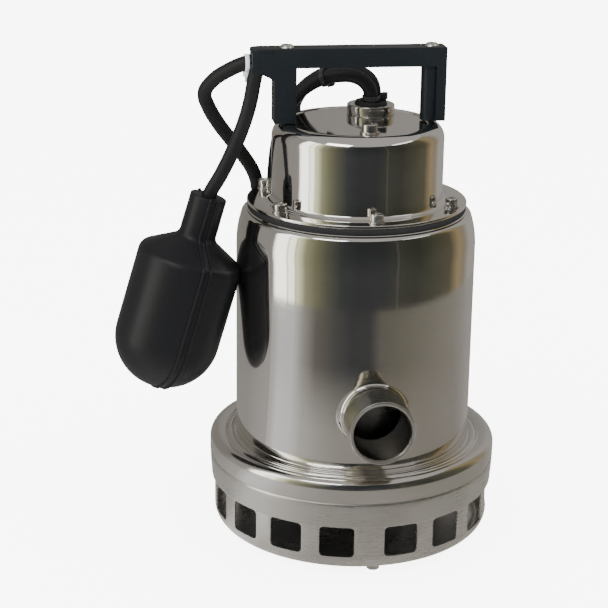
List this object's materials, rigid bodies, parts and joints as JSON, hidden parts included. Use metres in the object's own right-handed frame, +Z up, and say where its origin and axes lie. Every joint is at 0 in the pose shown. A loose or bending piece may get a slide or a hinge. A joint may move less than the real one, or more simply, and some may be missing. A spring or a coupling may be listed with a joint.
{
  "type": "submersible sump pump",
  "caption": "Stainless submersible sump pump on a slotted strainer base, with a side discharge nipple, carrying handle, hanging float switch and mains lead.",
  "frame": {"origin": "on the motor axis, on the floor that the feet stand on", "axes": "+Z up along the motor axis, -Y out of the discharge nipple, the handle along X with the float on the -X side"},
  "size_m": [0.2605, 0.4049, 0.3293],
  "materials": {
    "polished_steel": "mirror polished",
    "satin_steel": "satin",
    "bright_fasteners": "bright turned",
    "dark_iron": "as cast",
    "black_coated_steel": "satin powder coat",
    "black_rubber": "matt",
    "black_plastic": "satin moulded",
    "copper": "enamelled wire",
    "cast_aluminium": "die cast",
    "ivory_plastic": "moulded",
    "brass": "polished",
    "clear_nylon": "translucent"
  },
  "bodies": {
    "pump": {"strainer": "satin_steel", "strainer_feet": "satin_steel", "strainer_studs": "dark_iron", "clamp_band": "satin_steel", "base_ring": "polished_steel", "suction_plate": "satin_steel", "wear_ring": "black_rubber", "diffuser": "black_plastic", "seal_plate": "satin_steel", "jacket": "polished_steel", "jacket_flange": "satin_steel", "discharge_nipple": "satin_steel", "nipple_collar": "polished_steel", "motor_can": "satin_steel", "oil_chamber": "dark_iron", "seal_seat": "ivory_plastic", "lip_seal": "black_rubber", "bearings": "bright_fasteners", "lower_bracket": "dark_iron", "upper_bracket": "dark_iron", "stator_core": "dark_iron", "stator_windings": "copper", "capacitor": "ivory_plastic", "capacitor_clip": "satin_steel", "terminal_block": "ivory_plastic", "cover_plate": "dark_iron", "cap_gasket": "black_rubber", "motor_cap": "polished_steel", "cap_washers": "bright_fasteners", "cap_screws": "bright_fasteners", "vent_screw": "polished_steel", "gland_nut": "bright_fasteners", "gland_bush": "black_rubber", "handle": "black_coated_steel", "handle_posts": "black_coated_steel", "handle_screws": "bright_fasteners", "cable_ties": "black_plastic", "lug_tie": "clear_nylon", "float_cable": "black_rubber", "power_cord": "black_rubber", "cord_coil": "black_rubber", "coil_tie": "black_plastic", "cord_lead": "black_rubber", "plug_body": "black_plastic", "plug_pins": "brass"},
    "rotor": {"shaft": "bright_fasteners", "rotor_core": "dark_iron", "rotor_rings": "cast_aluminium", "impeller": "satin_steel", "impeller_key": "dark_iron", "impeller_nut": "bright_fasteners", "seal_rotary": "dark_iron"},
    "float": {"float_shell": "black_plastic", "neck_grommet": "black_rubber", "float_cable_drop": "black_rubber", "ball_cage": "ivory_plastic", "micro_switch": "black_plastic", "float_ballast": "dark_iron"},
    "ball": {"float_ball": "bright_fasteners"},
    "lever": {"switch_lever": "bright_fasteners"}
  },
  "joints": [
    {"name": "rotor_spin", "type": "hinge", "parent": "pump", "child": "rotor", "pos_m": [0, 0, 0.1], "axis": [0, 0, 1], "continuous": true},
    {"name": "float_swing", "type": "hinge", "parent": "pump", "child": "float", "pos_m": [-0.068, -0.003, 0.3064], "axis": [0, 1, 0], "range_deg": [0, 76]},
    {"name": "ball_roll", "type": "slide", "parent": "float", "child": "ball", "axis": [0.2823, 0, 0.9593], "range_m": [0, 0.033]},
    {"name": "lever_tilt", "type": "hinge", "parent": "float", "child": "lever", "pos_m": [-0.12108, -0.003, 0.18448], "axis": [0, -1, 0], "range_deg": [0, 14]}
  ],
  "couplings": [
    {"joint": "lever_tilt", "follows": "ball_roll", "rad_per_m": 7.4}
  ]
}
